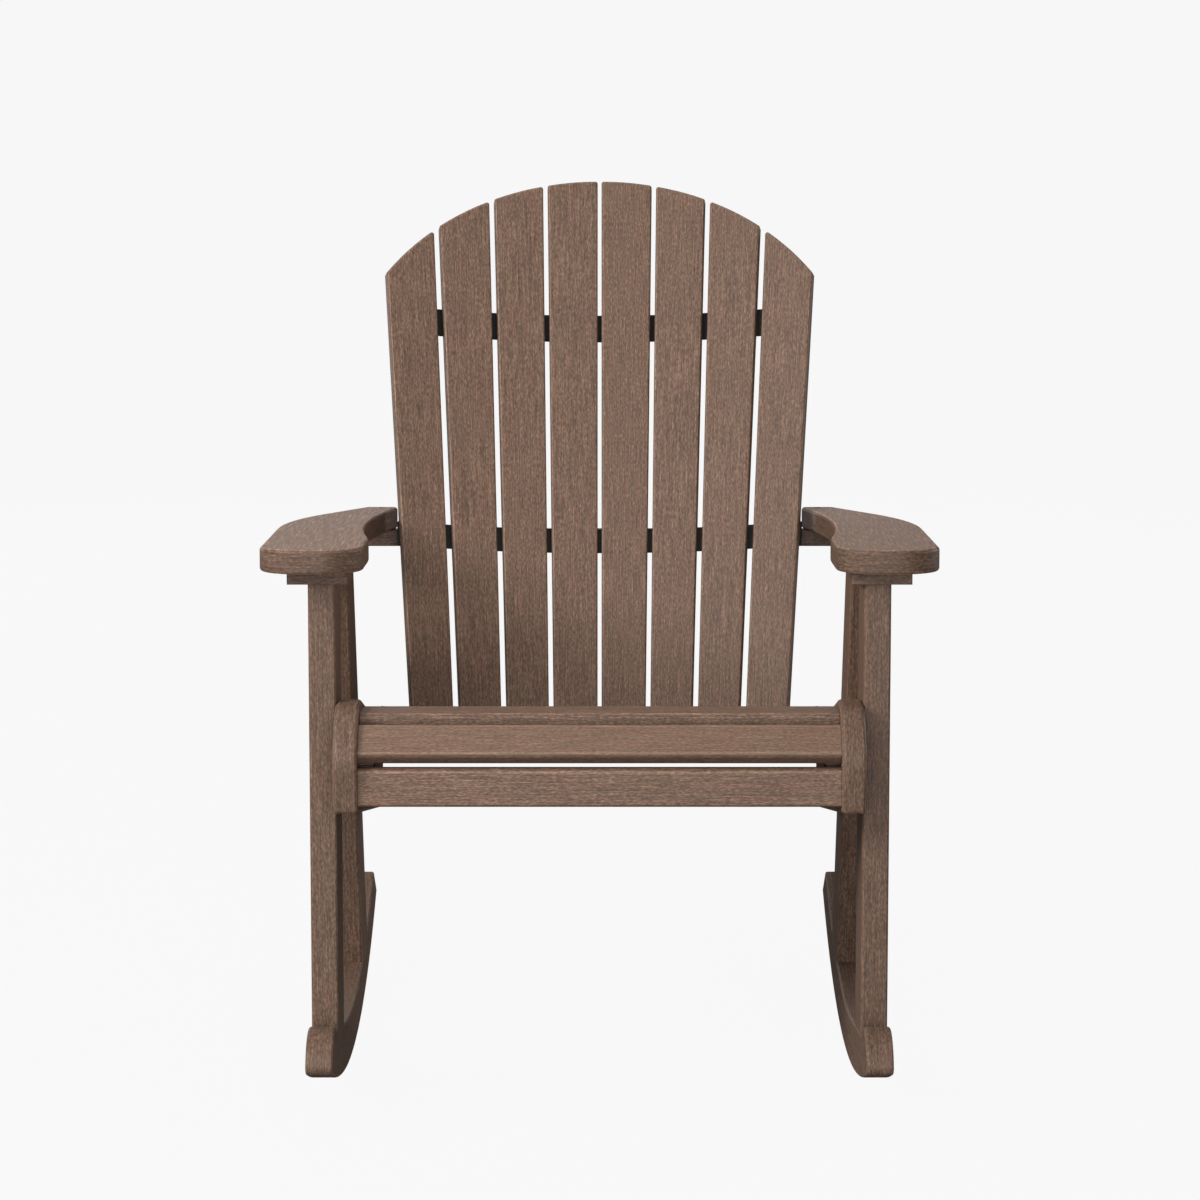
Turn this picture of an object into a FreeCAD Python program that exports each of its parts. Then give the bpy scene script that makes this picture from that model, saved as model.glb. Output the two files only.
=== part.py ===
# Fan-back rocking chair of poly lumber boards, in millimetres.
# X runs across the chair, Y from front to back, Z up; the right side is on +X.
# Every piece is laid out in the chair's own frame: Y is 0 at the front faces of the posts, Z is 0 at
# the lowest point of the runners, the posts stand upright and the arms are level.
# The finished chair is then leaned back until it balances on its runners, and its origin is put
# on the ground under the middle of the whole chair.

import FreeCAD, Part
import math
import os
import Sketcher

os.makedirs("parts", exist_ok=True)
document = FreeCAD.newDocument("FanBackRocker")
Vector = FreeCAD.Vector
X_AXIS = Vector(1, 0, 0)
Y_AXIS = Vector(0, 1, 0)
Z_AXIS = Vector(0, 0, 1)

# Driving dimensions: name, size in mm or degrees, what it measures.
DRIVING = (
    ("post_width", 31.75, "front post and rear leg, side to side"),
    ("post_depth", 88.9, "front post and rear leg, front to back"),
    ("frame_inner", 311.15, "middle of the chair to the inner faces of the posts"),
    ("seat_height", 466, "top of the level seat board above the ground"),
    ("arm_rise", 198, "top of the arms above the seat"),
    ("arm_thickness", 28.6, "arm board"),
    ("edge_round", 3.2, "rounding along the boards' edges"),
    ("fine_round", 2, "rounding of the small pieces"),
    ("running_gap", 0.3, "side clearance of a board let in between two others"),
    ("runner_radius", 1000, "rocking curve of the runners"),
    ("runner_centre", 227, "lowest point of the runners, behind the posts' front faces"),
    ("runner_depth", 57, "runner board measured square to its curve"),
    ("runner_waist", 750, "radius of the runner's top edge between the two legs"),
    ("runner_rear_angle", 27.75, "end of the rocking curve behind its lowest point"),
    ("runner_end_cut", 1.9, "how far the end cut leads in along the curve"),
    ("toe_reach", 98, "front of the runners, ahead of the posts"),
    ("toe_rise", 43.7, "top of the raised front toe above its lower corner"),
    ("toe_crest", 48, "top of the toe, ahead of the posts"),
    ("toe_foot_round", 10, "rounding of the toe's lower front corner"),
    ("post_foot_depth", 56.7, "runner board under the middle of the post"),
    ("post_foot_fall", 8.3, "fall of the post's foot towards its rear"),
    ("post_foot_margin", 5, "flat left in front of and behind the post"),
    ("leg_middle", 332.7, "centre line of the rear leg at its middle height"),
    ("leg_middle_height", 400, "height at which leg_middle is measured"),
    ("leg_lean", 20.8, "rear leg from upright, its foot further back"),
    ("leg_foot_margin", 4, "flat left in front of and behind the rear leg's foot"),
    ("rail_thickness", 28.6, "side rail board"),
    ("rail_nose_rise", 11.5, "top of the side rail's nose above the seat"),
    ("rail_crest", 34, "end of the level top of the nose, behind the posts' front faces"),
    ("rail_drop", 111.9, "lower front corner of the side rail below the seat"),
    ("rail_bottom_reach", 54, "lower front corner, ahead of the posts"),
    ("rail_nose_reach", 64, "furthest point of the nose, ahead of the posts"),
    ("rail_nose_drop", 41, "furthest point of the nose below the seat"),
    ("rail_nose_round", 42, "roundings of the nose"),
    ("rail_round", 5, "rounding along the side rail's edges"),
    ("rail_top_slope", 13.5, "fall of the seat towards the back"),
    ("rail_bottom_slope", 8.9, "fall of the side rail's lower edge"),
    ("seat_slat_thickness", 22, "seat board"),
    ("apron_width", 45.6, "width of the upright front board"),
    ("nose_slat_width", 44.45, "width of the slanting board behind it"),
    ("wide_slat", 66, "width of the other seat boards"),
    ("seat_gap", 5.4, "gap between the wide seat boards"),
    ("seat_round", 6, "rounding along the seat boards' edges"),
    ("apron_front", 50, "front face of the upright front board, ahead of the posts"),
    ("apron_drop", 105, "lower edge of the upright front board below the seat"),
    ("nose_slat_front", 55, "lower corner of the slanting board, ahead of the posts"),
    ("nose_slat_drop", 42.6, "that corner below the seat"),
    ("nose_slat_lean", 40, "slanting board from upright"),
    ("seat_front", 9, "front of the level seat board, ahead of the posts"),
    ("seat_drop", 4, "step down from the level board to the first sloping one"),
    ("cleat_thickness", 19.05, "support strip under the seat boards, side to side"),
    ("cleat_depth", 22, "support strip, square to the seat boards"),
    ("cleat_rear", 330, "rear end of the support strip"),
    ("back_foot", 387.6, "rear face of the back boards at their lower ends"),
    ("back_foot_drop", 121, "the back boards' lower ends below the seat"),
    ("back_recline", 22, "back from upright"),
    ("back_curve", 950, "radius of the hollow of the back"),
    ("back_length", 803.9, "middle of the back, lower end to top"),
    ("back_slat_thickness", 17, "back board"),
    ("fan_foot_1", 62.8, "middle of the back to the first gap, at the boards' lower ends"),
    ("fan_foot_2", 124.2, "to the second gap, there"),
    ("fan_foot_3", 186.2, "to the third gap, there"),
    ("fan_foot_4", 245.3, "to the outer edge of the back, there"),
    ("fan_top_1", 74.8, "middle of the back to the first gap, level with the top of the back"),
    ("fan_top_2", 149.5, "to the second gap, there"),
    ("fan_top_3", 228.2, "to the third gap, there"),
    ("fan_top_4", 302.8, "to the outer edge of the back, there"),
    ("fan_gap", 6.2, "middle gap between the back boards"),
    ("fan_gap_gain", 1, "how much wider each gap is than the one before it, going outwards"),
    ("arch_radius", 361, "arch over the top of the back"),
    ("bar_thickness", 4.8, "flat metal bars behind the back"),
    ("bar_seat_gap", 0.9, "hollow between a flat board and the curved bar"),
    ("lower_bar_width", 31.75, "lower bar"),
    ("lower_bar_drop", 15.1, "middle of the lower bar below the undersides of the arms"),
    ("lower_bar_reach", 267.6, "half length of the lower bar"),
    ("upper_bar_width", 36.5, "upper bar"),
    ("upper_bar_share", 0.7432, "middle of the upper bar, as a share of the back's length"),
    ("upper_bar_reach", 262, "half length of the upper bar"),
    ("back_rail_thickness", 28.6, "lower back rail at its thinnest"),
    ("back_rail_width", 56, "lower back rail up and down the back"),
    ("back_rail_place", 8, "lower edge of the lower back rail above the boards' lower ends"),
    ("back_rail_gap", 1.3, "hollow between a flat board and the curved front of that rail"),
    ("arm_front", 52, "front corners of the arms, ahead of the posts"),
    ("arm_front_bow", 180, "radius of the arm's front edge"),
    ("arm_inner", 276, "inner edge of the arm at the front"),
    ("arm_outer", 401.4, "outer edge of the arm where it turns in towards the rear"),
    ("arm_taper", 4.3, "how far that edge comes in again towards the front"),
    ("arm_rear", 540, "rear end of the arm"),
    ("arm_rear_inner", 267.6, "inner corner of the arm's rear end"),
    ("arm_rear_outer", 310.8, "outer corner of the arm's rear end"),
    ("arm_turn", 334, "where the arm's outer edge turns in towards the rear"),
    ("arm_turn_round", 490, "radius of that turn"),
    ("scoop_start", 95, "front end of the hollow in the arm's inner edge"),
    ("scoop_radius", 1162, "radius of that hollow"),
    ("scoop_round", 400, "rounding at its front end"),
    ("arm_corner_share", 0.45, "radius of the arm's front corners, as a share of its width there"),
    ("arm_tail_corner", 6, "rear corners of the arm"),
    ("arm_round", 4.2, "rounding along the arm's edges"),
    ("arm_screw_recess", 3, "heads of the arms' rear screws below the arms' tops"),
    ("block_thickness", 17.5, "block between post and arm"),
    ("block_front", 6, "front of the block, ahead of the post"),
    ("block_inner", 295.5, "inner side of the block"),
    ("block_outer", 366.9, "outer side of the block"),
    ("crossbar_height", 21.5, "bar under the rear ends of the arms"),
    ("dowel_diameter", 10, "pin between rear leg and arm"),
    ("dowel_in_leg", 26, "pin below the top of the leg"),
    ("dowel_in_arm", 18, "pin above the top of the leg"),
    ("dowel_spacing", 44, "pins of one leg"),
    ("bore_clearance", 0.1, "room round a screw or pin in its bore"),
    ("short_shank", 4.2, "board screws behind the back"),
    ("short_head", 8.4, "their heads"),
    ("short_length", 20, "their length"),
    ("mid_shank", 4.8, "board screws of the seat, arms and crossbar"),
    ("mid_head", 9.4, "their heads"),
    ("mid_length", 38, "their length"),
    ("frame_shank", 6.3, "frame screws through posts and legs into the side rails"),
    ("frame_head", 12.6, "their heads"),
    ("frame_length", 54, "their length"),
    ("lag_shank", 8, "long screws up through the runners"),
    ("lag_head", 15, "their heads"),
    ("lag_length", 105, "their length"),
    ("lag_recess", 12, "heads of the long screws above the rocking curve"),
    ("socket_share", 0.42, "driver socket across, as a share of the head"),
)


class Size:
    """A number together with the expression that gives it from the sheet of dimensions."""

    def __init__(self, value, text):
        self.value = float(value)
        self.text = text

    def __add__(self, other):
        other = sized(other)
        return Size(self.value + other.value, f"({self.text} + {other.text})")

    def __sub__(self, other):
        other = sized(other)
        return Size(self.value - other.value, f"({self.text} - {other.text})")

    def __mul__(self, other):
        other = sized(other)
        return Size(self.value * other.value, f"({self.text} * {other.text})")

    def __truediv__(self, other):
        other = sized(other)
        return Size(self.value / other.value, f"({self.text} / {other.text})")

    def __radd__(self, other):
        return sized(other) + self

    def __rsub__(self, other):
        return sized(other) - self

    def __rmul__(self, other):
        return sized(other) * self

    def __neg__(self):
        return Size(-self.value, f"(0 - {self.text})")


def sized(thing):
    """A Size from a Size or a plain number."""
    return thing if isinstance(thing, Size) else Size(thing, f"{float(thing):.6f}")


def sine(angle):
    return Size(math.sin(math.radians(angle.value)), f"sin({angle.text})")


def cosine(angle):
    return Size(math.cos(math.radians(angle.value)), f"cos({angle.text})")


def tangent(angle):
    return Size(math.tan(math.radians(angle.value)), f"tan({angle.text})")


def root(square):
    return Size(math.sqrt(square.value), f"sqrt({square.text})")


class Dimensions:
    """The spreadsheet of driving dimensions; each one is read as an attribute."""

    def __init__(self, rows):
        self.sheet = document.addObject("Spreadsheet::Sheet", "Dimensions")
        self.numbers = {}
        for row, (alias, number, note) in enumerate(rows, start=1):
            self.sheet.set(f"A{row}", alias)
            self.sheet.set(f"B{row}", str(number))
            self.sheet.set(f"C{row}", note)
            self.sheet.setAlias(f"B{row}", alias)
            self.numbers[alias] = number
        document.recompute()

    def __getattr__(self, alias):
        return Size(self.numbers[alias], f"Dimensions.{alias}")


size = Dimensions(DRIVING)


def bind(thing, field, amount):
    """Tie one property or constraint of an object to the sheet."""
    amount = sized(amount)
    thing.setExpression(field, amount.text)


def meet(first, first_way, second, second_way):
    """Where two lines meet, each given by a point and a direction."""
    cross = first_way[0] * second_way[1] - first_way[1] * second_way[0]
    apart = (second[0] - first[0], second[1] - first[1])
    along = (apart[0] * second_way[1] - apart[1] * second_way[0]) / cross
    return first[0] + along * first_way[0], first[1] + along * first_way[1]


def arc_between(start, end, radius):
    """The shorter arc from start to end; its centre is on the left where the radius is positive."""
    chord = end - start
    rise = math.sqrt(radius * radius - chord.Length * chord.Length / 4)
    left = Vector(-chord.y, chord.x, 0).normalize() * math.copysign(rise, radius)
    centre = (start + end) / 2 + left
    circle = Part.Circle(centre, Z_AXIS, abs(radius))
    if radius < 0:
        start, end = end, start
    first = math.atan2(start.y - centre.y, start.x - centre.x)
    last = math.atan2(end.y - centre.y, end.x - centre.x)
    return Part.ArcOfCircle(circle, first, last)


def outline(body, plane, offset, corners):
    """A closed sketch on one of the body's own planes, every corner tied to the sheet.

    A corner is (across, up); a third value is the radius of an arc that leads to the next corner.
    """
    sketch = body.newObject("Sketcher::SketchObject", body.Name + "_outline")
    support = [feature for feature in body.Origin.OriginFeatures if feature.Role == plane][0]
    sketch.AttachmentSupport = [(support, "")]
    sketch.MapMode = "FlatFace"
    bind(sketch, "AttachmentOffset.Base.z", offset)
    corners = [tuple(sized(value) for value in corner) for corner in corners]
    spots = [Vector(corner[0].value, corner[1].value, 0) for corner in corners]
    ends = []
    for number, corner in enumerate(corners):
        start = spots[number]
        end = spots[(number + 1) % len(spots)]
        if len(corner) == 2:
            ends.append((sketch.addGeometry(Part.LineSegment(start, end)), 1, 2))
            continue
        radius = corner[2]
        edge = sketch.addGeometry(arc_between(start, end, radius.value))
        ends.append((edge, 1, 2) if radius.value > 0 else (edge, 2, 1))
        held = sketch.addConstraint(Sketcher.Constraint("Radius", edge, abs(radius.value)))
        bind(sketch, f"Constraints[{held}]", radius if radius.value > 0 else -radius)
    for number, (edge, first, last) in enumerate(ends):
        following, start, finish = ends[(number + 1) % len(ends)]
        sketch.addConstraint(Sketcher.Constraint("Coincident", edge, last, following, start))
        for kind, amount in zip(("DistanceX", "DistanceY"), corners[number]):
            held = sketch.addConstraint(Sketcher.Constraint(kind, -1, 1, edge, first, amount.value))
            bind(sketch, f"Constraints[{held}]", amount)
    return sketch


def board(name, plane, offset, corners, thickness):
    """A board: an outline given its thickness."""
    body = document.addObject("PartDesign::Body", name)
    sketch = outline(body, plane, offset, corners)
    pad = body.newObject("PartDesign::Pad", name + "_pad")
    pad.Profile = sketch
    bind(pad, "Length", thickness)
    document.recompute()
    return body


def fillet(body, radius, edges):
    """Round some edges of a body, or all of them where none are named."""
    base = body.Tip
    rounding = body.newObject("PartDesign::Fillet", f"{body.Name}_round{len(body.Group)}")
    rounding.Base = (base, edges or [""])
    rounding.UseAllEdges = not edges
    bind(rounding, "Radius", radius)
    body.Tip = rounding
    document.recompute()


def soften(body, radius=None):
    """Round every edge, as a router leaves a board."""
    fillet(body, radius or size.edge_round, [])


def edges_along(body, way):
    """Names of the straight edges that run one way."""
    way = Vector(way).normalize()
    names = []
    for number, edge in enumerate(body.Shape.Edges, start=1):
        if edge.Curve.TypeId == "Part::GeomLine" and abs(abs(edge.Curve.Direction * way) - 1) < 1e-6:
            names.append(f"Edge{number}")
    return names


def round_corner(body, spot, radius):
    """Round the one edge that passes through a spot."""
    nearest = min(
        enumerate(body.Shape.Edges, start=1),
        key=lambda item: item[1].distToShape(Part.Vertex(spot))[0],
    )
    fillet(body, radius, [f"Edge{nearest[0]}"])


def frame(origin, across, up, out):
    """A placement from an origin and three axes."""
    matrix = FreeCAD.Matrix(
        across.x, up.x, out.x, origin.x,
        across.y, up.y, out.y, origin.y,
        across.z, up.z, out.z, origin.z,
        0, 0, 0, 1,
    )
    return FreeCAD.Placement(matrix)


# Screws. A pattern lies along +Z with the outer face of its head at the origin.

def screw_pattern(name, shank, head, length):
    """A countersunk screw with a driver socket and a pointed end."""
    cone_height = (head - shank) / 2
    point_height = shank
    head_cone = document.addObject("Part::Cone", name + "_head")
    bind(head_cone, "Radius1", head / 2)
    bind(head_cone, "Radius2", shank / 2)
    bind(head_cone, "Height", cone_height)
    rod = document.addObject("Part::Cylinder", name + "_rod")
    bind(rod, "Radius", shank / 2)
    bind(rod, "Height", length - point_height)
    point = document.addObject("Part::Cone", name + "_point")
    bind(point, "Radius1", shank / 2)
    bind(point, "Radius2", shank / 8)
    bind(point, "Height", point_height)
    bind(point, "Placement.Base.z", length - point_height)
    whole = document.addObject("Part::MultiFuse", name + "_whole")
    whole.Shapes = [head_cone, rod, point]
    socket = document.addObject("Part::Prism", name + "_socket")
    socket.Polygon = 6
    bind(socket, "Circumradius", head * size.socket_share / 2)
    bind(socket, "Height", cone_height * 0.8)
    screw = document.addObject("Part::Cut", name)
    screw.Base = whole
    screw.Tool = socket
    return screw


def bore_pattern(name, shank, head, length):
    """The stepped bore that a screw sits in, with a well over its head."""
    clearance = size.bore_clearance
    cone_height = (head - shank) / 2
    well = document.addObject("Part::Cylinder", name + "_well")
    bind(well, "Radius", head / 2 + clearance)
    bind(well, "Height", length)
    bind(well, "Placement.Base.z", -length)
    cone = document.addObject("Part::Cone", name + "_cone")
    bind(cone, "Radius1", head / 2 + clearance)
    bind(cone, "Radius2", shank / 2 + clearance)
    bind(cone, "Height", cone_height)
    rod = document.addObject("Part::Cylinder", name + "_bore")
    bind(rod, "Radius", shank / 2 + clearance)
    bind(rod, "Height", length + clearance)
    bore = document.addObject("Part::MultiFuse", name)
    bore.Shapes = [well, cone, rod]
    return bore


SCREWS = {}
for kind in ("short", "mid", "frame", "lag"):
    measures = [getattr(size, f"{kind}_{part}") for part in ("shank", "head", "length")]
    SCREWS[kind] = (
        screw_pattern(f"{kind}_screw", *measures),
        bore_pattern(f"{kind}_screw_bore", *measures),
    )

pin = document.addObject("Part::Cylinder", "dowel")
bind(pin, "Radius", size.dowel_diameter / 2)
bind(pin, "Height", size.dowel_in_leg + size.dowel_in_arm)
pin_bore = document.addObject("Part::Cylinder", "dowel_bore")
bind(pin_bore, "Radius", size.dowel_diameter / 2 + size.bore_clearance)
bind(pin_bore, "Height", size.dowel_in_leg + size.dowel_in_arm + 2 * size.bore_clearance)
bind(pin_bore, "Placement.Base.z", -size.bore_clearance)
SCREWS["dowel"] = (pin, pin_bore)
document.recompute()

groups = {}
bores = {}


def drive(group, kind, spot, way):
    """Add one screw or pin to a group on each side of the chair, and note the bores."""
    for side in (1, -1):
        flip = Vector(side, 1, 1)
        placement = FreeCAD.Placement(
            Vector(spot).scale(*flip), FreeCAD.Rotation(Z_AXIS, Vector(way).scale(*flip))
        )
        for pattern, store in zip(SCREWS[kind], (groups, bores)):
            shape = pattern.Shape.copy()
            shape.Placement = placement.multiply(shape.Placement)
            store.setdefault(group, []).append(shape)


pieces = {}


def finish(name, body, *bored_for):
    """Cut the bores of some screw groups into a body and keep the result as a finished piece."""
    near = body.Shape.BoundBox
    cutters = [bore for group in bored_for for bore in bores[group] if bore.BoundBox.intersect(near)]
    drills = document.addObject("Part::Feature", name + "_drills")
    drills.Shape = Part.makeCompound(cutters)
    piece = document.addObject("Part::Cut", name)
    piece.Base = body
    piece.Tool = drills
    piece.Refine = False
    piece.Label = name
    pieces[name] = piece


# Heights and places that several pieces share.
arm_top = size.seat_height + size.arm_rise
arm_bottom = arm_top - size.arm_thickness
rail_top = size.seat_height + size.rail_nose_rise
rail_bottom = size.seat_height - size.rail_drop
back_foot_height = size.seat_height - size.back_foot_drop
post_top = arm_bottom - size.block_thickness
post_outer = size.frame_inner + size.post_width
post_middle = size.frame_inner + size.post_width / 2
rail_inner = size.frame_inner - size.rail_thickness
leg_slope = tangent(size.leg_lean)
leg_half = size.post_depth / 2 / cosine(size.leg_lean)


def leg_middle_at(height):
    """Centre line of the rear leg at a height."""
    return size.leg_middle + (size.leg_middle_height - height) * leg_slope


def on_runner(radius, place):
    """Height of one of the runner's curves at a place front to back."""
    away = place - size.runner_centre
    return size.runner_radius - root(radius * radius - away * away)


# Where the rear leg stands: its centre line meets the runner's top curve, and a flat is cut there.
top_curve = size.runner_radius - size.runner_depth
ahead = size.runner_centre - size.leg_middle
above = size.runner_radius - size.leg_middle_height
along_leg = ahead * sine(size.leg_lean) - above * cosine(size.leg_lean)
leg_reach = along_leg + root(
    along_leg * along_leg - ahead * ahead - above * above + top_curve * top_curve
)
foot_height = size.leg_middle_height - leg_reach * cosine(size.leg_lean)
foot_front = leg_middle_at(foot_height) - leg_half - size.leg_foot_margin
foot_rear = leg_middle_at(foot_height) + leg_half + size.leg_foot_margin
leg_flat = (foot_front, on_runner(top_curve, foot_front))
leg_flat_end = (foot_rear, on_runner(top_curve, foot_rear))
leg_flat_way = (leg_flat_end[0] - leg_flat[0], leg_flat_end[1] - leg_flat[1])
leg_way = (-leg_slope, sized(1))


def post_foot_at(place):
    """Height of the post's sloping foot at a place front to back."""
    middle = on_runner(size.runner_radius, size.post_depth / 2) + size.post_foot_depth
    return middle - size.post_foot_fall * (place / size.post_depth - 0.5)


def rounded_over(across, drop):
    """Radius of an arc that starts level and drops by an amount over a distance across."""
    return (across * across + drop * drop) / (2 * drop)


def make_runner():
    """The runner: rocking curve below, raised toe in front, flats for the post and the leg."""
    toe = -size.toe_reach
    toe_foot = on_runner(size.runner_radius, toe)
    toe_top = toe_foot + size.toe_rise
    toe_width = size.toe_reach - size.toe_crest
    flat_start = -size.post_foot_margin
    flat_end = size.post_depth + size.post_foot_margin
    rear_top = size.runner_rear_angle - size.runner_end_cut
    corners = [
        (toe, toe_foot, size.runner_radius),
        (
            size.runner_centre + size.runner_radius * sine(size.runner_rear_angle),
            size.runner_radius - size.runner_radius * cosine(size.runner_rear_angle),
        ),
        (
            size.runner_centre + top_curve * sine(rear_top),
            size.runner_radius - top_curve * cosine(rear_top),
            -top_curve,
        ),
        leg_flat_end,
        (*leg_flat, -size.runner_waist),
        (flat_end, post_foot_at(flat_end)),
        (
            flat_start,
            post_foot_at(flat_start),
            rounded_over(size.toe_crest + flat_start, toe_top - post_foot_at(flat_start)),
        ),
        (-size.toe_crest, toe_top, rounded_over(toe_width, size.toe_rise)),
    ]
    body = board("runner", "YZ_Plane", size.frame_inner, corners, size.post_width)
    middle = post_middle.value
    round_corner(body, Vector(middle, toe.value, toe_foot.value), size.toe_foot_round)
    soften(body)
    return body


def make_post():
    """The front post stands on the runner and carries the arm block."""
    corners = [
        (0, post_foot_at(sized(0))),
        (size.post_depth, post_foot_at(size.post_depth)),
        (size.post_depth, post_top),
        (0, post_top),
    ]
    body = board("post", "YZ_Plane", size.frame_inner, corners, size.post_width)
    fillet(body, size.edge_round, edges_along(body, Z_AXIS))
    return body


def make_leg():
    """The rear leg leans from the runner up to the arm."""
    corners = []
    for side in (-1, 1):
        edge = (leg_middle_at(arm_bottom) + side * leg_half, arm_bottom)
        corners.append((edge, meet(edge, leg_way, leg_flat, leg_flat_way)))
    (front_top, front_foot), (rear_top, rear_foot) = corners
    body = board(
        "leg", "YZ_Plane", size.frame_inner, [front_foot, rear_foot, rear_top, front_top],
        size.post_width,
    )
    way = Vector(0, -math.sin(math.radians(size.leg_lean.value)), math.cos(math.radians(size.leg_lean.value)))
    fillet(body, size.edge_round, edges_along(body, way))
    return body


# The back's own frame: X across, s up the back from the lower ends, e forward of the rear faces.
recline_sine = sine(size.back_recline)
recline_cosine = cosine(size.back_recline)
back_up = Vector(0, recline_sine.value, recline_cosine.value)
back_out = Vector(0, -recline_cosine.value, recline_sine.value)
back_origin = Vector(0, size.back_foot.value, back_foot_height.value)


def in_back(up, out):
    """Front-to-back place and height of a point of the back's frame."""
    return (
        size.back_foot + up * recline_sine - out * recline_cosine,
        back_foot_height + up * recline_cosine + out * recline_sine,
    )


def make_side_rail():
    """The side rail: a rounded nose in front, a sloping top, its rear end cut to the back's angle."""
    top_way = (cosine(size.rail_top_slope), -sine(size.rail_top_slope))
    bottom_way = (cosine(size.rail_bottom_slope), -sine(size.rail_bottom_slope))
    nose_way = (sine(size.nose_slat_lean), cosine(size.nose_slat_lean))
    crest = (size.rail_crest, rail_top)
    bottom = (-size.rail_bottom_reach, rail_bottom)
    nose = (-size.rail_nose_reach, size.seat_height - size.rail_nose_drop)
    brow = meet(nose, nose_way, crest, (sized(1), sized(0)))
    rear = in_back(sized(0), -size.back_rail_thickness)
    rear_way = (recline_sine, recline_cosine)
    corners = [
        bottom,
        meet(bottom, bottom_way, rear, rear_way),
        meet(crest, top_way, rear, rear_way),
        crest,
        brow,
        nose,
    ]
    body = board("side_rail", "YZ_Plane", rail_inner, corners, size.rail_thickness)
    middle = (rail_inner + size.rail_thickness / 2).value
    for corner, radius in (
        (crest, 2 * size.rail_nose_round),
        (brow, size.rail_nose_round),
        (nose, size.rail_nose_round),
        (bottom, 1.4 * size.rail_round),
    ):
        round_corner(body, Vector(middle, corner[0].value, corner[1].value), radius)
    soften(body, size.rail_round)
    return body


def make_arm():
    """The arm: bowed front edge, hollowed inner edge, outer edge turning in to a narrow rear end."""
    front_outer = size.arm_outer - size.arm_taper
    corners = [
        (size.arm_inner, -size.arm_front, size.arm_front_bow),
        (front_outer, -size.arm_front),
        (size.arm_outer, size.arm_turn),
        (size.arm_rear_outer, size.arm_rear),
        (size.arm_rear_inner, size.arm_rear, -size.scoop_radius),
        (size.arm_inner, size.scoop_start),
    ]
    body = board("arm", "XY_Plane", arm_bottom, corners, size.arm_thickness)
    middle = (arm_bottom + size.arm_thickness / 2).value
    front_corner = (front_outer - size.arm_inner) * size.arm_corner_share
    radii = (
        front_corner, front_corner, size.arm_turn_round,
        size.arm_tail_corner, size.arm_tail_corner, size.scoop_round,
    )
    for corner, radius in zip(corners, radii):
        round_corner(body, Vector(corner[0].value, corner[1].value, middle), radius)
    soften(body, size.arm_round)
    return body


def make_arm_block():
    """The block that spreads the top of the post under the arm."""
    rear = size.post_depth - size.block_front
    corners = [
        (size.block_inner, -size.block_front),
        (size.block_outer, -size.block_front),
        (size.block_outer, rear),
        (size.block_inner, rear),
    ]
    body = board("arm_block", "XY_Plane", post_top, corners, size.block_thickness)
    fillet(body, size.fine_round, edges_along(body, Z_AXIS) + edges_along(body, X_AXIS)[:2])
    return body


def make_crossbar():
    """The bar under the arms' rear ends, just behind the lower metal bar."""
    front = crossbar_front
    corners = [
        (front, arm_bottom - size.crossbar_height),
        (size.arm_rear, arm_bottom - size.crossbar_height),
        (size.arm_rear, arm_bottom),
        (front, arm_bottom),
    ]
    half = size.arm_rear_outer
    body = board("crossbar", "YZ_Plane", -half, corners, 2 * half)
    fillet(body, size.fine_round, edges_along(body, X_AXIS))
    return body


bar_rear = -(size.bar_seat_gap + size.bar_thickness)
lower_bar_height = arm_bottom - size.lower_bar_drop
lower_bar_place = (lower_bar_height - back_foot_height - bar_rear * recline_sine) / recline_cosine
upper_bar_place = size.back_length * size.upper_bar_share
crossbar_front = size.running_gap + in_back(lower_bar_place + size.lower_bar_width / 2, bar_rear)[0]


def make_bar(name, place, width, reach):
    """A flat metal bar bent to the hollow of the back."""
    body_frame = frame(back_origin, X_AXIS, back_up, back_out)
    half_angle = reach / size.back_curve * (180 / math.pi)
    front = size.back_curve + size.bar_seat_gap
    rear = front + size.bar_thickness
    corners = [
        (-front * sine(half_angle), size.back_curve - front * cosine(half_angle), front),
        (front * sine(half_angle), size.back_curve - front * cosine(half_angle)),
        (rear * sine(half_angle), size.back_curve - rear * cosine(half_angle), -rear),
        (-rear * sine(half_angle), size.back_curve - rear * cosine(half_angle)),
    ]
    body = board(name, "XZ_Plane", -(place + width / 2), corners, width)
    body.Placement = body_frame
    return body


def make_back_rail():
    """The lower back rail: flat behind, hollowed in front to take the fan of boards."""
    half = rail_inner - size.running_gap
    front = size.back_curve + size.back_rail_gap
    horn = size.back_curve - root(front * front - half * half)
    corners = [
        (-half, -size.back_rail_thickness),
        (half, -size.back_rail_thickness),
        (half, horn, -front),
        (-half, horn),
    ]
    top = size.back_rail_place + size.back_rail_width
    body = board("back_rail", "XZ_Plane", -top, corners, size.back_rail_width)
    fillet(body, size.fine_round, edges_along(body, X_AXIS))
    body.Placement = frame(back_origin, X_AXIS, back_up, back_out)
    return body


arch_middle = size.back_length - size.arch_radius


def fan_line(count, up):
    """Middle of the back to its count-th gap, or for 4 to its outer edge, at a place up the back."""
    if count == 0:
        return sized(0)
    foot = getattr(size, f"fan_foot_{count}")
    top = getattr(size, f"fan_top_{count}")
    return foot + (top - foot) * up / size.back_length


def fan_edges(count, up):
    """Inner and outer edge of the count-th board from the middle, at a place up the back."""
    inner = fan_line(count - 1, up) + (size.fan_gap + size.fan_gap_gain * (count - 1)) / 2
    outer = fan_line(count, up)
    if count < 4:
        outer = outer - (size.fan_gap + size.fan_gap_gain * count) / 2
    return inner, outer


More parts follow.
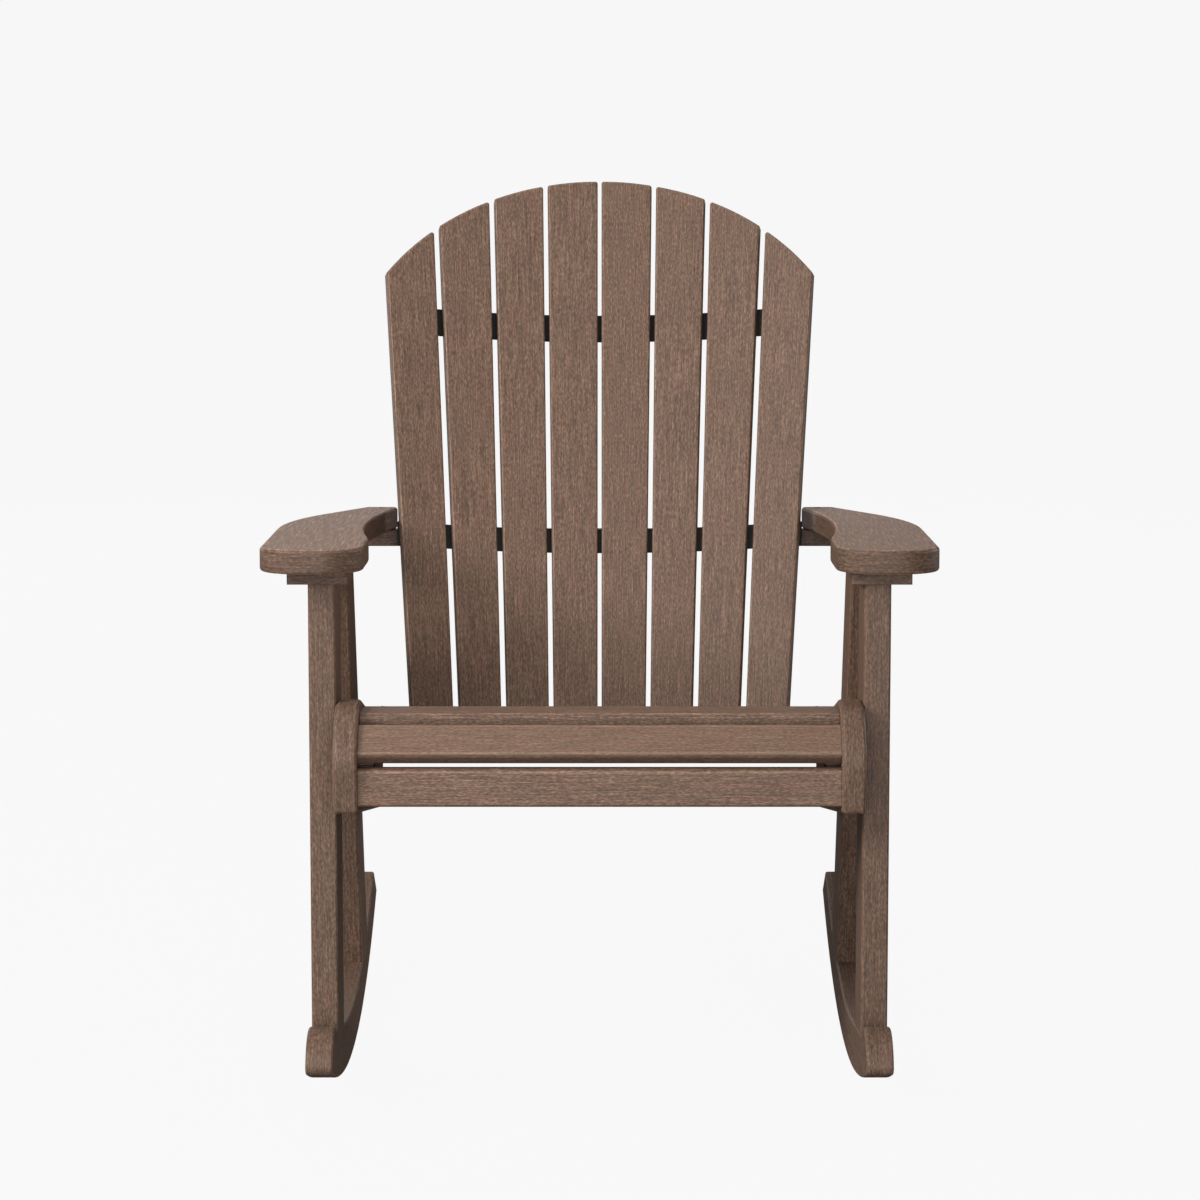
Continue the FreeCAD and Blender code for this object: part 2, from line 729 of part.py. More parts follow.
def arch_meets(foot, top):
    """Where an edge, given by its places at the foot and at the top, meets the arch over the back."""
    gain = (top - foot) / size.back_length
    square = 1 + gain * gain
    half = foot * gain - arch_middle
    rest = foot * foot + arch_middle * arch_middle - size.arch_radius * size.arch_radius
    up = (root(half * half - square * rest) - half) / square
    return foot + gain * up, up


def slat_middle(count, up):
    """Centre line of the count-th board from the middle, at a place up the back."""
    inner, outer = fan_edges(count, up)
    return (inner + outer) / 2


def slat_frame(count):
    """The flat on the hollow back that the count-th board from the middle lies against."""
    across = slat_middle(count, (lower_bar_place + upper_bar_place) / 2)
    angle = across.value / size.back_curve.value
    radius = size.back_curve.value
    origin = back_origin + X_AXIS * radius * math.sin(angle) + back_out * radius * (1 - math.cos(angle))
    side = X_AXIS * math.cos(angle) + back_out * math.sin(angle)
    out = back_out * math.cos(angle) - X_AXIS * math.sin(angle)
    return across, frame(origin, side, back_up, out)


def make_back_slat(count):
    """A tapered back board with its share of the arch on top."""
    across, place = slat_frame(count)
    feet = fan_edges(count, sized(0))
    tops = fan_edges(count, size.back_length)
    inner_end, outer_end = (arch_meets(foot, top) for foot, top in zip(feet, tops))
    corners = [
        (feet[0] - across, sized(0)),
        (feet[1] - across, sized(0)),
        (outer_end[0] - across, outer_end[1], size.arch_radius),
        (inner_end[0] - across, inner_end[1]),
    ]
    body = board(f"back_board_{count}", "XY_Plane", 0, corners, size.back_slat_thickness)
    soften(body)
    body.Placement = place
    return body


def slat_spot(count, up, out):
    """A point on the centre line of a back board, and the board's outward way."""
    across, place = slat_frame(count)
    offset = slat_middle(count, up) - across
    spot = place.multVec(Vector(offset.value, up.value, out.value))
    return spot, place.Rotation.multVec(Z_AXIS)


# The seat boards: the lower front corner of each board's upper face, its turn and its width.
slope_start = -size.seat_front + size.wide_slat + size.seat_gap
slope_way = (cosine(size.rail_top_slope), -sine(size.rail_top_slope))
seat_boards = [
    ((-size.apron_front, size.seat_height - size.apron_drop), sized(90), size.apron_width),
    (
        (-size.nose_slat_front, size.seat_height - size.nose_slat_drop),
        90 - size.nose_slat_lean, size.nose_slat_width,
    ),
    ((-size.seat_front, size.seat_height), sized(0), size.wide_slat),
]
for step in range(4):
    along = step * (size.wide_slat + size.seat_gap)
    corner = (
        slope_start + along * slope_way[0],
        size.seat_height - size.seat_drop + along * slope_way[1],
    )
    seat_boards.append((corner, -size.rail_top_slope, size.wide_slat))


def make_seat_slat(number):
    """A seat board between the side rails."""
    corner, turn, width = seat_boards[number - 1]
    half = rail_inner - size.running_gap
    corners = [(0, -size.seat_slat_thickness), (width, -size.seat_slat_thickness), (width, 0), (0, 0)]
    body = board(f"seat_board_{number}", "YZ_Plane", -half, corners, 2 * half)
    fillet(body, size.seat_round, edges_along(body, X_AXIS))
    body.Placement = FreeCAD.Placement(
        Vector(0, corner[0].value, corner[1].value), FreeCAD.Rotation(X_AXIS, turn.value)
    )
    return body


def under_board(number, along, deep):
    """A point of a seat board: along its width from the front corner, and below its upper face."""
    corner, turn, width = seat_boards[number - 1]
    return (
        corner[0] + along * cosine(turn) + deep * sine(turn),
        corner[1] + along * sine(turn) - deep * cosine(turn),
    )


def make_cleat():
    """The support strip on the side rail: it follows the undersides of the seat boards."""
    thick = size.seat_slat_thickness
    deep = thick + size.cleat_depth
    nose_way = (sine(size.nose_slat_lean), cosine(size.nose_slat_lean))
    level = (sized(1), sized(0))
    upright = (sized(0), sized(1))
    apron = under_board(1, size.edge_round, thick)
    nose = under_board(2, sized(0), thick)
    flat = under_board(3, sized(0), thick)
    slope = under_board(4, sized(0), thick)
    lower_slope = under_board(4, sized(0), deep)
    lower_flat = under_board(3, sized(0), deep)
    lower_nose = under_board(2, sized(0), deep)
    lower_apron = under_board(1, size.edge_round, deep)
    rear = meet(slope, slope_way, (size.cleat_rear, sized(0)), upright)
    corners = [
        apron,
        lower_apron,
        meet(lower_apron, upright, lower_nose, nose_way),
        meet(lower_nose, nose_way, lower_flat, level),
        meet(lower_flat, level, lower_slope, slope_way),
        meet(rear, (-slope_way[1], slope_way[0]), lower_slope, slope_way),
        rear,
        meet(flat, level, slope, slope_way),
        meet(nose, nose_way, flat, level),
        meet(apron, upright, nose, nose_way),
    ]
    return board("cleat", "YZ_Plane", rail_inner - size.cleat_thickness, corners, size.cleat_thickness)


# Screws and pins, given on the right side of the chair.

def drive_runner_screws():
    """Long screws up through the runner into the post and the leg."""
    for share in (0.28, 0.72):
        place = size.post_depth * share
        head = on_runner(size.runner_radius, place) + size.lag_recess
        drive("runner_screws", "lag", (post_middle.value, place.value, head.value), Z_AXIS)
        across = size.post_depth.value * (share - 0.5)
        lean = math.radians(size.leg_lean.value)
        way = Vector(0, -math.sin(lean), math.cos(lean))
        sideways = Vector(0, math.cos(lean), math.sin(lean))
        foot = leg_middle_at(foot_height)
        spot = Vector(post_middle.value, foot.value, foot_height.value) + sideways * across
        reach = spot.z - on_runner(size.runner_radius, sized(spot.y)).value - size.lag_recess.value
        drive("runner_screws", "lag", spot - way * (reach / way.z), way)


def drive_frame_screws():
    """Screws through the post and the leg into the side rail."""
    post_spots = ((0.3, 0.72), (0.7, 0.25))
    low, high = rail_bottom.value, rail_top.value
    for along, up in post_spots:
        spot = (post_outer.value, size.post_depth.value * along, low + (high - low) * up)
        drive("frame_screws", "frame", spot, -X_AXIS)
    for up in (0.02, -0.34):
        height = low + (high - low) * up
        place = leg_middle_at(sized(height)).value
        drive("frame_screws", "frame", (post_outer.value, place, height), -X_AXIS)


def drive_block_screws():
    """Screws down through the arm block into the post, and up through it into the arm."""
    for share in (0.22, 0.72):
        place = (size.post_depth * share).value
        drive("post_cap_screws", "mid", (post_middle.value, place, arm_bottom.value), -Z_AXIS)
        outer = (post_outer + size.block_outer) / 2
        drive("arm_block_screws", "mid", (outer.value, place, post_top.value), Z_AXIS)
    inner = (size.frame_inner + size.block_inner) / 2
    drive("arm_block_screws", "mid", (inner.value, size.post_depth.value / 2, post_top.value), Z_AXIS)


def drive_rear_arm_screws():
    """Screws down through the arms' rear ends into the crossbar, and pins from the legs."""
    middle = (size.arm_rear_inner + size.arm_rear_outer) / 2
    place = (crossbar_front + size.arm_rear) / 2
    head = arm_top - size.arm_screw_recess
    drive("arm_rear_screws", "mid", (middle.value, place.value, head.value), -Z_AXIS)
    start = arm_bottom - size.dowel_in_leg
    for side in (-0.5, 0.5):
        spot = leg_middle_at(arm_bottom) + side * size.dowel_spacing
        drive("arm_pins", "dowel", (post_middle.value, spot.value, start.value), Z_AXIS)


def drive_crossbar_screws():
    """Screws forward through the crossbar, ending inside the lower bar."""
    across = fan_line(1, lower_bar_place).value * 0.75
    radius = size.back_curve.value
    forward = radius - math.sqrt(radius * radius - across * across)
    height = (arm_bottom - size.crossbar_height / 2).value
    rise = (height - back_foot_height.value - (forward + bar_rear.value) * recline_sine.value)
    up = rise / recline_cosine.value
    bar_face = in_back(sized(up), sized(forward) + bar_rear)[0]
    tip = bar_face.value - size.bar_thickness.value / 2
    head = tip + size.mid_length.value
    drive("crossbar_screws", "mid", (across, head, height), -Y_AXIS)


def drive_back_screws():
    """Screws from behind: through the bars and the lower back rail into each back board."""
    for count in range(1, 5):
        for place in (lower_bar_place, upper_bar_place):
            spot, way = slat_spot(count, place, bar_rear)
            drive("back_bar_screws", "short", spot, way)
        place = size.back_rail_place + size.back_rail_width / 2
        bite = size.mid_length - size.back_slat_thickness * 0.6
        spot, way = slat_spot(count, place, -bite)
        drive("back_rail_screws", "mid", spot, way)


def drive_seat_screws():
    """Screws up through the support strips into the seat boards, and from the strips into the rails."""
    across = rail_inner - size.cleat_thickness / 2
    for number, (corner, turn, width) in enumerate(seat_boards, start=1):
        shares = (0.5,) if number < 3 else (0.3, 0.7)
        angle = math.radians(turn.value)
        way = Vector(0, -math.sin(angle), math.cos(angle))
        for share in shares:
            spot = under_board(number, width * share, size.seat_slat_thickness + size.cleat_depth)
            drive("seat_slat_screws", "mid", (across.value, spot[0].value, spot[1].value), way)
    inner = rail_inner - size.cleat_thickness
    for number, share in ((2, 0.12), (3, 0.5), (5, 0.5), (6, 0.5), (7, 0.5)):
        spot = under_board(
            number, seat_boards[number - 1][2] * share, size.seat_slat_thickness + size.cleat_depth / 2
        )
        drive("cleat_screws", "mid", (inner.value, spot[0].value, spot[1].value), X_AXIS)


def drive_rail_end_screws():
    """Screws through the side rails into the ends of the lower back rail."""
    for share in (0.25, 0.75):
        up = size.back_rail_place + size.back_rail_width * share
        spot = in_back(up, -size.back_rail_thickness / 2)
        drive("rail_end_screws", "frame", (size.frame_inner.value, spot[0].value, spot[1].value), -X_AXIS)


drive_runner_screws()
drive_frame_screws()
drive_block_screws()
drive_rear_arm_screws()
drive_crossbar_screws()
drive_back_screws()
drive_seat_screws()
drive_rail_end_screws()

finish("rocker_right", make_runner(), "runner_screws")
finish("front_post_right", make_post(), "runner_screws", "frame_screws", "post_cap_screws")
finish("rear_leg_right", make_leg(), "runner_screws", "frame_screws", "arm_pins")
finish("side_rail_right", make_side_rail(), "frame_screws", "cleat_screws", "rail_end_screws")
finish("arm_right", make_arm(), "arm_block_screws", "arm_rear_screws", "arm_pins")
finish("arm_block_right", make_arm_block(), "post_cap_screws", "arm_block_screws")
finish("seat_cleat_right", make_cleat(), "seat_slat_screws", "cleat_screws")
right_names = list(pieces)

for count in range(1, 5):
    finish(f"back_slat_{count + 4}", make_back_slat(count), "back_bar_screws", "back_rail_screws")

finish("rear_crossbar", make_crossbar(), "arm_rear_screws", "crossbar_screws")
finish(
    "lower_back_bar",
    make_bar("lower_bar", lower_bar_place, size.lower_bar_width, size.lower_bar_reach),
    "back_bar_screws", "crossbar_screws",
)
finish(
    "upper_back_bar",
    make_bar("upper_bar", upper_bar_place, size.upper_bar_width, size.upper_bar_reach),
    "back_bar_screws",
)
finish("lower_back_rail", make_back_rail(), "back_rail_screws", "rail_end_screws")
for number in range(1, len(seat_boards) + 1):
    finish(f"seat_slat_{number}", make_seat_slat(number), "seat_slat_screws")

for name, screws in groups.items():
    group = document.addObject("Part::Feature", name)
    group.Shape = Part.makeCompound(screws)
    group.Label = name
    pieces[name] = group


def mirrored(name, source):
    """The left-hand twin of a right-hand piece."""
    twin = document.addObject("Part::Mirroring", name)
    twin.Source = source
    twin.Normal = X_AXIS
    twin.Label = name
    pieces[name] = twin


for name in right_names:
    mirrored(name.replace("_right", "_left"), pieces[name])
for count in range(1, 5):
    mirrored(f"back_slat_{5 - count}", pieces[f"back_slat_{count + 4}"])
document.recompute()

# The chair comes to rest leaned back, with its centre of mass under the centre of its runners.
DENSITY = {"poly": 1.1e-6, "steel": 7.85e-6}


def balance():
    """Front-to-back place and height of the centre of mass, in the chair's own frame."""
    mass = 0
    moment = Vector()
    for name, piece in pieces.items():
        metal = name.endswith(("_screws", "_back_bar"))
        for solid in piece.Shape.Solids:
            share = solid.Volume * DENSITY["steel" if metal else "poly"]
            mass += share
            moment += solid.CenterOfMass * share
    return mass, moment / mass


mass, centre = balance()
rest_lean = math.atan2(
    centre.y - size.runner_centre.value, size.runner_radius.value - centre.z
)
lean = FreeCAD.Placement(Vector(), FreeCAD.Rotation(X_AXIS, -math.degrees(rest_lean)))
axle = lean.multVec(Vector(0, size.runner_centre.value, size.runner_radius.value))
whole = Part.makeCompound([piece.Shape for piece in pieces.values()])
whole.Placement = lean
extent = whole.optimalBoundingBox(False)
lean.Base = Vector(0, -(extent.YMin + extent.YMax) / 2, size.runner_radius.value - axle.z)
for name, piece in pieces.items():
    if piece.TypeId != "Part::Mirroring":
        piece.Placement = lean
document.recompute()

print(f"mass {mass:.2f} kg, centre of mass {centre.y:.1f} back and {centre.z:.1f} up")
print(f"rest lean {math.degrees(rest_lean):.5f} degrees, shift {lean.Base.y:.4f}, {lean.Base.z:.4f}")
for thing in document.Objects:
    if "Invalid" in thing.State or "Error" in thing.State:
        raise RuntimeError(f"{thing.Name} failed: {thing.State}")
for name, piece in pieces.items():
    if piece.Shape.isNull() or not piece.Shape.isValid() or not piece.Shape.Solids:
        raise RuntimeError(f"{name} has no sound shape")
    if name not in groups and len(piece.Shape.Solids) != 1:
        raise RuntimeError(f"{name} is {len(piece.Shape.Solids)} solids")
    piece.Shape.exportStep(f"parts/{name}.step")
print(f"{len(pieces)} sub-parts written")
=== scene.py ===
# %% [markdown]
# # Fan-back rocking chair
# The chair is cut from poly lumber: boards of brown plastic, extruded with a fine brushed grain
# that runs along each board. The packed CAD model already has every board with its real outline
# and its rounded edges. So this lesson keeps those boards and gives them what CAD can't: the
# grain, the mixed brown of recycled plastic, a painted highlight along the edges, and the light of
# a product photograph.

# %% The packed model
import math

import bpy
from mathutils import Matrix, Vector

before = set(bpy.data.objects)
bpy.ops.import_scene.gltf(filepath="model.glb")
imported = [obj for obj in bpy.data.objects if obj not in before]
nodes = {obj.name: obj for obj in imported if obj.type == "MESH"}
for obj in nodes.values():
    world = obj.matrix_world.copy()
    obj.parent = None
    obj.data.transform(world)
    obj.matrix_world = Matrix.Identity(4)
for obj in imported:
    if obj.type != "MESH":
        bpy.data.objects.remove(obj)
scene = bpy.context.scene
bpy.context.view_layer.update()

# %% [markdown]
# ## The chair's own axes
# A rocking chair comes to rest leaned back a few degrees, because its weight settles over the
# middle of the runners. Its boards are easiest to describe before that lean, with upright posts
# and level arms, so every direction here is given in the chair's own axes and then leaned with
# it.

# %% Lean, and the turn from the chair's axes to the scene
REST_LEAN = math.radians(5.92746)
LEAN_SHIFT = Vector((0, -0.3537054, 0.0287887))
lean_turn = Matrix.Rotation(-REST_LEAN, 3, "X")


def in_scene(spot):
    """A point of the chair's own axes, in metres, as the leaned chair holds it in the scene."""
    return lean_turn @ Vector(spot) + LEAN_SHIFT


def way_in_scene(way):
    """A direction of the chair's own axes, turned with the lean."""
    return (lean_turn @ Vector(way)).normalized()


print("the posts' upright way in the scene:", way_in_scene((0, 0, 1)))

# %% [markdown]
# ## Camera
# The photograph was taken from straight ahead with a long lens. Its place comes from the
# perspective of the seat, arms and runners: 3.9 m in front of the posts and a little above the
# arms, measured in the chair's own axes. A wide lens up close would spread the arms and runners
# apart. The focal length was measured in pixels of the picture, and becomes millimetres by the
# sensor's width.

# %% The photograph's camera
CAMERA_SPOT = (0.0005, -3.9, 1.037)
CAMERA_DIP = math.radians(6.402)
SENSOR_WIDTH = 36.0
FOCAL_PIXELS = 3341.6
PICTURE_PIXELS = 1200
CAMERA_REACH = 200

camera_data = bpy.data.cameras.new("photo_camera")
camera_data.sensor_fit = "HORIZONTAL"
camera_data.sensor_width = SENSOR_WIDTH
camera_data.lens = SENSOR_WIDTH * FOCAL_PIXELS / PICTURE_PIXELS
camera_data.clip_end = CAMERA_REACH
camera = bpy.data.objects.new("photo_camera", camera_data)
scene.collection.objects.link(camera)
camera.location = in_scene(CAMERA_SPOT)
camera.rotation_euler = (math.pi / 2 - CAMERA_DIP - REST_LEAN, 0, 0)
scene.camera = camera
print("camera at", tuple(round(value, 3) for value in camera.location))

# %% [markdown]
# ## Shader maths as expressions
# A material is a graph of nodes, and arithmetic drawn as nodes is hard to read. A small class
# wraps an output socket and overloads the operators, so that `1 - mask * 0.5` adds its own Math
# nodes.

# %% Signal
OPERATORS = {"add": "ADD", "sub": "SUBTRACT", "mul": "MULTIPLY", "pow": "POWER"}


class Signal:
    """An output socket that takes part in Python arithmetic."""

    def __init__(self, graph, socket):
        self.graph = graph
        self.socket = socket

    def clamped(self, low, high):
        """Held between low and high."""
        return self.graph.node("ShaderNodeClamp", {}, {0: self, 1: low, 2: high})

    def size(self):
        """The value without its sign."""
        return self.graph.node("ShaderNodeMath", {"operation": "ABSOLUTE"}, {0: self})

    def between(self, low, high):
        """0 below low, 1 above high, smooth in between."""
        settings = {"interpolation_type": "SMOOTHSTEP"}
        return self.graph.node("ShaderNodeMapRange", settings, {0: self, 1: low, 2: high})


def math_operator(operation, swapped):
    """A Python operator that adds a Math node; swapped is the form with a number in front."""
    def apply(self, other):
        pair = (other, self) if swapped else (self, other)
        return self.graph.node("ShaderNodeMath", {"operation": operation}, dict(enumerate(pair)))
    return apply


for word, operation in OPERATORS.items():
    setattr(Signal, f"__{word}__", math_operator(operation, False))
    setattr(Signal, f"__r{word}__", math_operator(operation, True))
print("operators ready:", ", ".join(OPERATORS))

# %% [markdown]
# ## One method for every other node
# Any node that isn't arithmetic comes from one method, which sets the node up first and then
# fills its sockets with numbers or links. Colours are mixed by Mix nodes, because a Math node
# would turn them grey. The noise is sized in metres along each axis, as a maker would measure a
# grain.

# %% Graph
class Graph:
    """The node tree of one material, or of the world."""

    def __init__(self, owner):
        self.owner = owner
        self.owner.use_nodes = True
        self.tree = self.owner.node_tree
        self.tree.nodes.clear()

    def node(self, kind, settings, sockets, output=0):
        """Adds a node: its settings first, then its sockets; gives one of its outputs."""
        made = self.tree.nodes.new(kind)
        for name, value in settings.items():
            setattr(made, name, value)
        for name, value in sockets.items():
            if isinstance(value, Signal):
                self.tree.links.new(value.socket, made.inputs[name])
            else:
                made.inputs[name].default_value = value
        return Signal(self, made.outputs[output]) if made.outputs else made

    def mix(self, factor, first, second, blend="MIX"):
        """One colour mixed into another; the colour sockets of a Mix node are numbers 6 and 7."""
        first, second = (
            value if isinstance(value, Signal) else (*value, 1) for value in (first, second)
        )
        settings = {"data_type": "RGBA", "blend_type": blend}
        return self.node("ShaderNodeMix", settings, {0: factor, 6: first, 7: second}, output=2)

    def noise(self, place, cell, detail=2.0, roughness=0.5):
        """Noise whose cells are as long as cell, in metres, along each axis of place."""
        cells = self.node(
            "ShaderNodeVectorMath", {"operation": "MULTIPLY"},
            {0: place, 1: tuple(1 / length for length in cell)},
        )
        sockets = {"Vector": cells, "Scale": 1.0, "Detail": detail, "Roughness": roughness}
        return self.node("ShaderNodeTexNoise", {}, sockets)

    def place(self):
        """Where a point lies on the piece, in metres: the Object coordinates."""
        return self.node("ShaderNodeTexCoord", {}, {}, output="Object")

    def bump(self, strength, depth, height):
        """A relief of a height from 0 to 1, pressed in by depth metres."""
        return self.node(
            "ShaderNodeBump", {}, {"Strength": strength, "Distance": depth, "Height": height},
        )

    def finish(self, sockets):
        """The surface itself: a Principled BSDF into the output."""
        shader = self.node("ShaderNodeBsdfPrincipled", {}, sockets)
        self.node("ShaderNodeOutputMaterial", {}, {"Surface": shader})
        return self.owner


print("steps of a graph:", ", ".join(word for word in vars(Graph) if word[0] != "_"))

# %% [markdown]
# ## Which way the grain runs
# The boards are extruded, so the grain is straight and follows each board's length, whatever
# outline was cut from it later. Two directions say how a board lies: the way along it, and the
# way out of its wide face. The back boards fan out and bend round the sitter's back, so both of
# theirs turn a little from board to board. The seat boards roll over the front, from upright to
# the seat's slope.

# %% Directions of the chair
BACK_RECLINE = math.radians(22)
SEAT_SLOPE = math.radians(13.5)
LEG_LEAN = math.radians(20.8)

ACROSS = Vector((1, 0, 0))
UP_POST = way_in_scene((0, 0, 1))
REARWARD = way_in_scene((0, 1, 0))
UP_BACK = way_in_scene((0, math.sin(BACK_RECLINE), math.cos(BACK_RECLINE)))
OUT_BACK = UP_BACK.cross(ACROSS)
DOWN_RAIL = way_in_scene((0, math.cos(SEAT_SLOPE), -math.sin(SEAT_SLOPE)))
UP_LEG = way_in_scene((0, -math.sin(LEG_LEAN), math.cos(LEG_LEAN)))
print("up the back:", UP_BACK, "out of it:", OUT_BACK)

# %% Axes of every board
MIDDLE_OF_FAN = 4.5
FAN_GAIN = 0.0171
BACK_BEND = 0.0730
SEAT_TURNS = (90, 50, 0, -13.5, -13.5, -13.5, -13.5)
FLAT_BOARDS = ("arm", "arm_block")
LENGTHWISE = {
    "front_post": UP_POST, "rear_leg": UP_LEG, "side_rail": DOWN_RAIL, "seat_cleat": DOWN_RAIL,
    "arm": REARWARD, "rocker": REARWARD, "arm_block": ACROSS,
}


def board_axes(name):
    """The way along a board and the way out of its wide face."""
    kind, last = name.rsplit("_", 1)
    if kind == "back_slat":
        steps = int(last) - MIDDLE_OF_FAN
        along = (UP_BACK + ACROSS * FAN_GAIN * steps).normalized()
        bend = BACK_BEND * steps
        return along, OUT_BACK * math.cos(bend) + ACROSS * math.sin(bend)
    if kind == "seat_slat":
        turn = math.radians(SEAT_TURNS[int(last) - 1])
        return ACROSS, way_in_scene((0, -math.sin(turn), math.cos(turn)))
    if kind not in LENGTHWISE:
        return ACROSS, OUT_BACK
    return LENGTHWISE[kind], UP_POST if kind in FLAT_BOARDS else ACROSS


boards = sorted(
    name for name in nodes
    if "screws" not in name and "pins" not in name and "back_bar" not in name
)
print("boards:", len(boards))

# %% [markdown]
# ## The board's own coordinates
# A pattern could be painted for each board on its own, but one pattern turned to each board's
# axes does the same with less. A Mapping node of the texture kind turns the scene's coordinates
# into the board's: x along it, y across it, z out of its wide face. Each board also starts at its
# own place in the pattern, as boards cut from different lengths do.

# %% From the scene's coordinates to a board's
NEXT_ALONG = 1.7
NEXT_OUT = 0.31


def board_turn(along, out):
    """Euler angles that turn x, y, z into along, across and out."""
    across = out.cross(along).normalized()
    out = along.cross(across)
    return Matrix((along, across, out)).transposed().to_euler("XYZ")


def on_board(graph, along, out, seed):
    """The board's own coordinates, which start at a place of their own for each seed."""
    start = along * (NEXT_ALONG * seed) + out * (NEXT_OUT * seed)
    return graph.node(
        "ShaderNodeMapping", {"vector_type": "TEXTURE"},
        {"Vector": graph.place(), "Location": start, "Rotation": board_turn(along, out)},
    )


print("a post's turn:", board_turn(UP_POST, ACROSS))

# %% [markdown]
# ## Streaks
# Streaks show where the rolls brushed the soft plastic. Most are short, a millimetre or two wide
# and five long, and some run on for centimetres. Noise that is stretched along the board gives
# both. On the wide faces the streaks run with the board. On the edges, which a router cut round
# the outline, they run round with the cutter, so there the pattern is thin only through the
# board.

# %% Short and long streaks
STREAK_WIDE = 0.0016
SHORT_STREAK = 0.0052
LONG_STREAK = 0.045
STREAK_FUZZ = 0.55
NOISE_MIDDLE = 0.5
LONG_SHARE = 0.66


def streaks(graph, board, long, wide_face):
    """Streaks of one length: along the board on wide faces, round the outline on its edges."""
    thin = STREAK_WIDE
    lengthwise = graph.noise(board, (long, thin, thin), roughness=STREAK_FUZZ)
    cut_round = graph.noise(board, (long, long, thin), roughness=STREAK_FUZZ)
    return cut_round + (lengthwise - cut_round) * wide_face


def brushed(graph, board, wide_face, long_share):
    """Short and long streaks together, around 0; long_share is for the wide faces alone."""
    short = streaks(graph, board, SHORT_STREAK, wide_face)
    long = streaks(graph, board, LONG_STREAK, wide_face)
    share = LONG_SHARE + wide_face * (long_share - LONG_SHARE)
    return (short - NOISE_MIDDLE) + (long - NOISE_MIDDLE) * share


print("streaks in mm:", SHORT_STREAK * 1000, "and", LONG_STREAK * 1000)

# %% [markdown]
# ## Faces, edges and painted highlights on the corners
# How squarely a surface faces out of the board tells its wide faces from its edges. It is the dot
# product of the surface's normal and the board's way out, without its sign, so both wide faces
# count. Where the faces turn into the rounded edges, a thin lighter line is painted into the
# colour: a painted highlight, standing in for the light that the rounded corners catch. A band of
# the same value marks it, so no edge has to be drawn by hand. A weaker painted highlight lies
# where the rounding runs out into the edge.

# %% Where the wide faces and the corners are
WIDE_FACE = (0.55, 0.85)
CORNER_COMES, CORNER_GOES = (0.70, 0.93), (0.970, 0.998)
EDGE_COMES, EDGE_GOES = (0.04, 0.16), (0.30, 0.60)
EDGE_SHINE = 0.5


def facing_out(graph, out):
    """1 on a board's wide faces, 0 on its edges, and in between on what is rounded."""
    normal = graph.node("ShaderNodeNewGeometry", {}, {}, output="Normal")
    settings = {"operation": "DOT_PRODUCT"}
    return graph.node("ShaderNodeVectorMath", settings, {0: normal, 1: out}, output="Value").size()


def paint_edge_highlight(facing):
    """The thin bands along the corners that get a painted highlight, and a little less roughness.
    """
    corner = facing.between(*CORNER_COMES) * (1 - facing.between(*CORNER_GOES))
    edge = facing.between(*EDGE_COMES) * (1 - facing.between(*EDGE_GOES))
    return corner + edge * EDGE_SHINE


print("wide faces from", WIDE_FACE, "corners from", CORNER_COMES, "to", CORNER_GOES)

# %% [markdown]
# ## Brown poly lumber
# The plastic is a mix of browns: redder and more olive threads lie side by side along the board,
# and the whole tone drifts a little over its length. The streaks lie over that. They are pressed
# in as well, so they also feed the bump and the roughness. Their strength is a power of two, so
# that light and dark ones differ from the middle by the same ratio. The boards differ in tone,
# and most cut edges are a little darker than the faces.

# %% The browns
BROWN = (0.208, 0.1262, 0.0862)
RED_BROWN = (0.2176, 0.1242, 0.0855)
OLIVE_BROWN = (0.203, 0.1302, 0.0862)
THREAD_CELL = (0.060, 0.0045, 0.0045)
THREAD_FUZZ = 0.6
THREAD_BAND = (0.50, 0.66)


def mixed_brown(graph, board):
    """Brown with threads of a redder and of a more olive brown along the board."""
    thread = graph.noise(board, THREAD_CELL, detail=3, roughness=THREAD_FUZZ)
    colour = graph.mix(thread.between(*THREAD_BAND), BROWN, RED_BROWN)
    return graph.mix((1 - thread).between(*THREAD_BAND), colour, OLIVE_BROWN)


print("browns:", BROWN, RED_BROWN, OLIVE_BROWN)

# %% The poly lumber material
DRIFT_CELL = (0.110, 0.035, 0.035)
DRIFT_DEPTH = 0.12
# how much the painted highlight along the corners lightens the colour
EDGE_HIGHLIGHT_GAIN = 0.32
GRAIN_BUMP = 0.5
GRAIN_RELIEF = 0.0003
SPECULAR = 0.40
ROUGHNESS = 0.54
STREAK_ROUGHNESS = 0.20
EDGE_HIGHLIGHT_POLISH = 0.08
ROUGHNESS_LIMITS = (0.35, 0.75)


